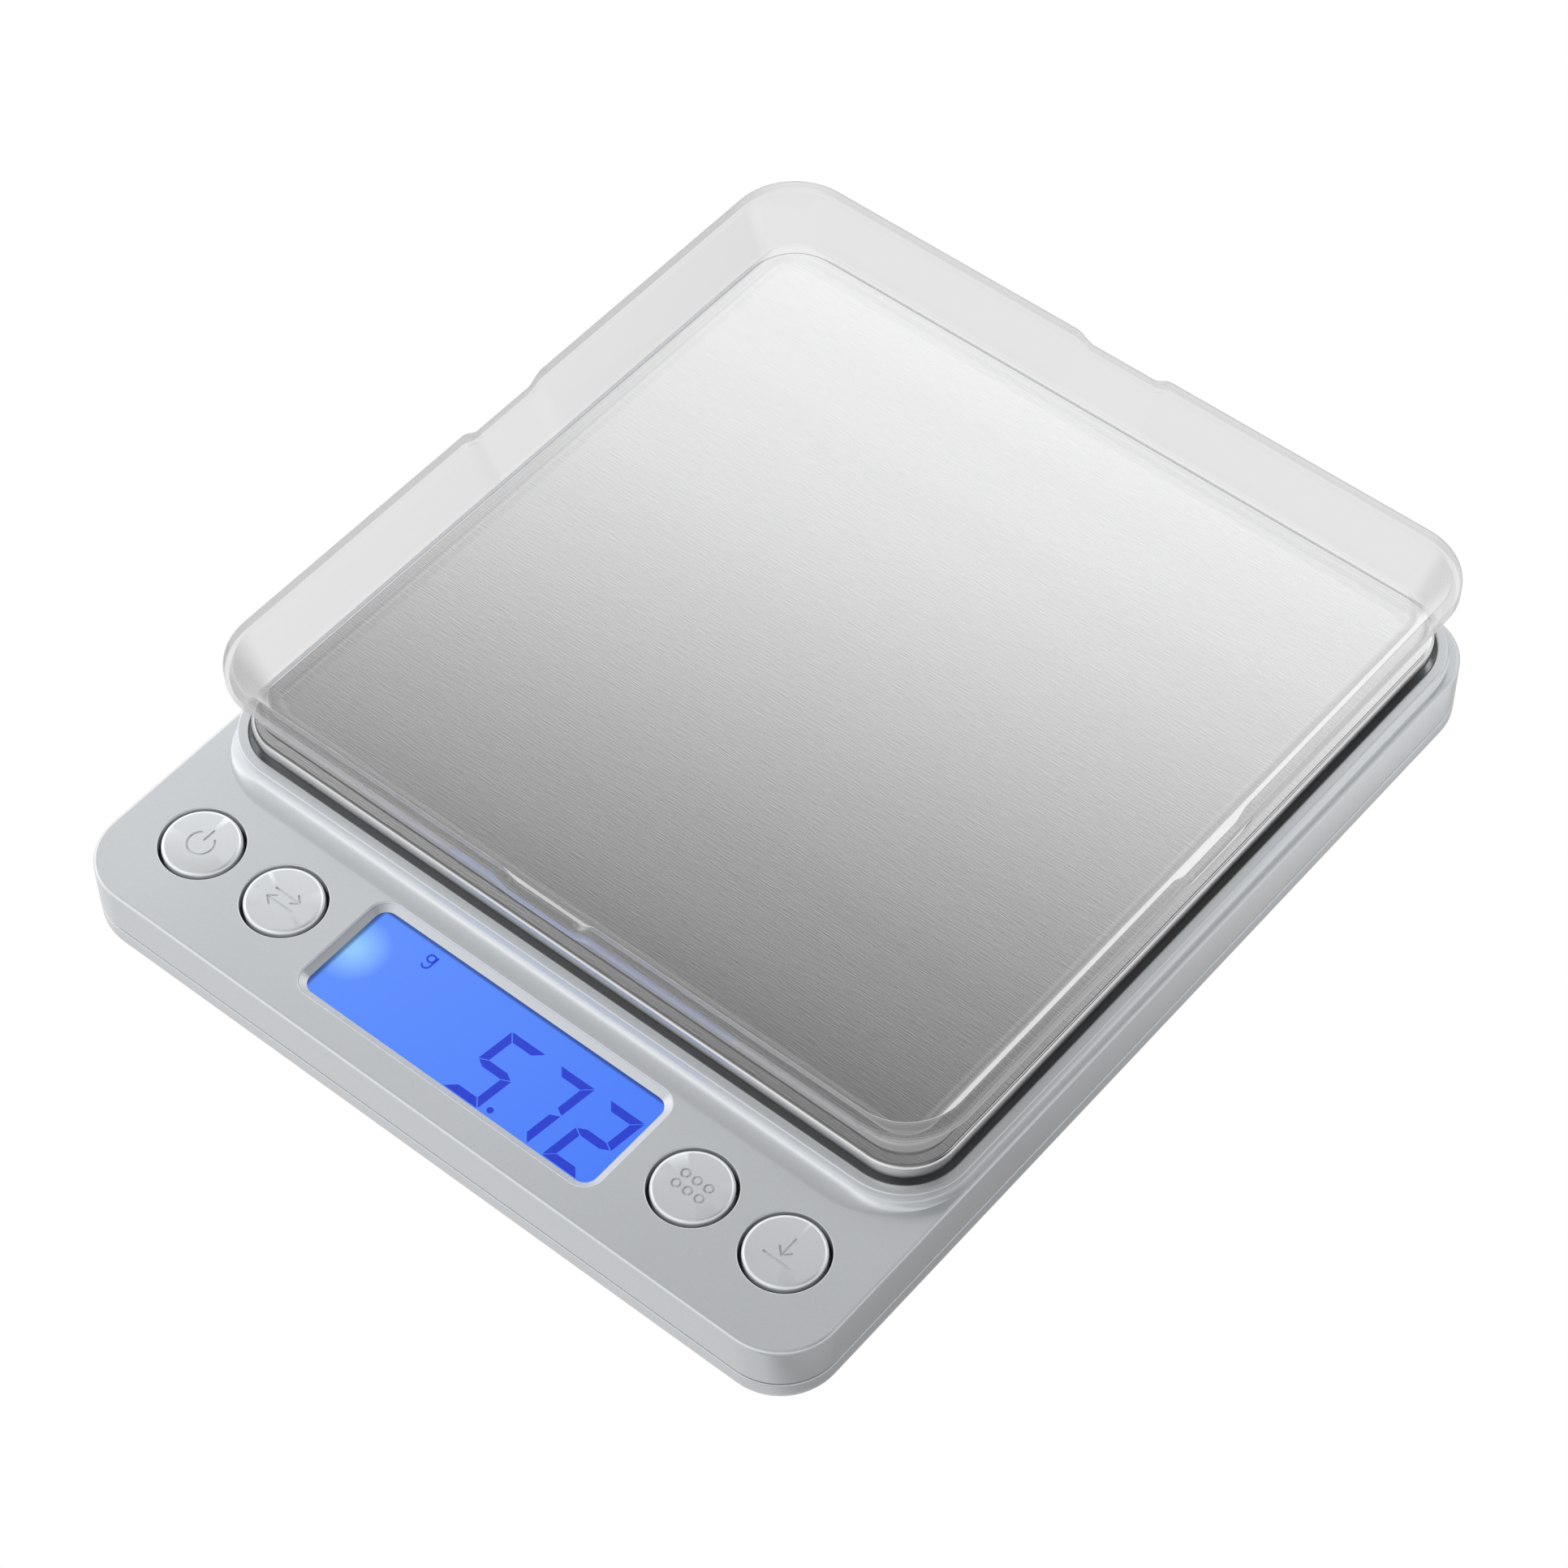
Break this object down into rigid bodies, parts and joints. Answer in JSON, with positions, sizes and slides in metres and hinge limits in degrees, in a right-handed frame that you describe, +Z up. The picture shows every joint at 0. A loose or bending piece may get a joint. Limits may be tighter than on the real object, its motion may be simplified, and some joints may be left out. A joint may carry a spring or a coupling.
{
  "type": "digital gram scale",
  "caption": "Flat silver platform gram scale with a steel weighing plate, a clear lift-off tray, a backlit display and round push keys along the front.",
  "frame": {"origin": "on the surface the feet stand on, under the middle of the body", "axes": "+X along the front edge from the power key to the tare key, +Y from the front to the back, +Z up"},
  "size_m": [0.106, 0.127, 0.026],
  "materials": {
    "silver_paint": "satin silver painted ABS",
    "stainless": "fine brushed stainless sheet",
    "clear_plastic": "clear polished polystyrene",
    "black_plastic": "matt",
    "grey_plastic": "matt",
    "white_ceramic": "matt",
    "cell_aluminium": "milled",
    "zinc_steel": "zinc plated",
    "nickel": "nickel plated",
    "board_green": "solder resist",
    "epoxy_black": "glossy",
    "lcd_blue": "lit blue display glass",
    "backlight_white": "light guide",
    "grey_rubber": "matt",
    "zebra_rubber": "soft",
    "gauge_coat": "silicone coat",
    "battery_wrap": "printed foil wrap, no lettering",
    "red_wire": "PVC",
    "black_wire": "PVC",
    "grey_wire": "PVC"
  },
  "bodies": {
    "body": {"top_housing": "silver_paint", "bottom_housing": "silver_paint", "foot_1": "grey_rubber", "foot_2": "grey_rubber", "foot_3": "grey_rubber", "foot_4": "grey_rubber", "case_screw_1": "zinc_steel", "case_screw_2": "zinc_steel", "case_screw_3": "zinc_steel", "case_screw_4": "zinc_steel", "load_cell": "cell_aluminium", "gauge_coating_top": "gauge_coat", "gauge_coating_bottom": "gauge_coat", "cell_screw_fixed_1": "zinc_steel", "cell_screw_fixed_2": "zinc_steel", "switch_body_power": "zinc_steel", "switch_body_mode": "zinc_steel", "switch_body_count": "zinc_steel", "switch_body_tare": "zinc_steel", "main_board": "board_green", "controller_dome": "epoxy_black", "converter_chip": "epoxy_black", "clock_crystal": "nickel", "buffer_capacitor": "white_ceramic", "board_screw_1": "zinc_steel", "board_screw_2": "zinc_steel", "display_window": "clear_plastic", "lcd_glass": "lcd_blue", "lcd_backlight": "backlight_white", "lcd_zebra_strip": "zebra_rubber", "lcd_holder": "grey_plastic", "battery_front": "battery_wrap", "battery_back": "battery_wrap", "contact_bridge": "nickel", "contact_minus": "nickel", "contact_plus": "nickel", "battery_lead_minus": "black_wire", "battery_lead_plus": "red_wire", "load_cell_lead": "grey_wire"},
    "platform": {"platform_plate": "stainless", "platform_carrier": "black_plastic", "cell_screw_free_1": "zinc_steel", "cell_screw_free_2": "zinc_steel"},
    "tray": {"tray": "clear_plastic"},
    "cover": {"battery_cover": "silver_paint"},
    "power_key": {"button_power": "silver_paint", "switch_plunger_power": "black_plastic"},
    "mode_key": {"button_mode": "silver_paint", "switch_plunger_mode": "black_plastic"},
    "count_key": {"button_count": "silver_paint", "switch_plunger_count": "black_plastic"},
    "tare_key": {"button_tare": "silver_paint", "switch_plunger_tare": "black_plastic"}
  },
  "joints": [
    {"name": "platform_press", "type": "slide", "parent": "body", "child": "platform", "axis": [0, 0, -1], "range_m": [0, 0.00025], "stiffness_N_per_m": 20000, "springref_m": -0.00005},
    {"name": "tray_lift", "type": "slide", "parent": "platform", "child": "tray", "axis": [0, 0, 1], "range_m": [0, 0.04]},
    {"name": "cover_slide", "type": "slide", "parent": "body", "child": "cover", "axis": [0, 1, 0], "range_m": [0, 0.03]},
    {"name": "press_power", "type": "slide", "parent": "body", "child": "power_key", "axis": [0, 0, -1], "range_m": [0, 0.0005], "stiffness_N_per_m": 2000, "springref_m": -0.0001},
    {"name": "press_mode", "type": "slide", "parent": "body", "child": "mode_key", "axis": [0, 0, -1], "range_m": [0, 0.0005], "stiffness_N_per_m": 2000, "springref_m": -0.0001},
    {"name": "press_count", "type": "slide", "parent": "body", "child": "count_key", "axis": [0, 0, -1], "range_m": [0, 0.0005], "stiffness_N_per_m": 2000, "springref_m": -0.0001},
    {"name": "press_tare", "type": "slide", "parent": "body", "child": "tare_key", "axis": [0, 0, -1], "range_m": [0, 0.0005], "stiffness_N_per_m": 2000, "springref_m": -0.0001}
  ]
}
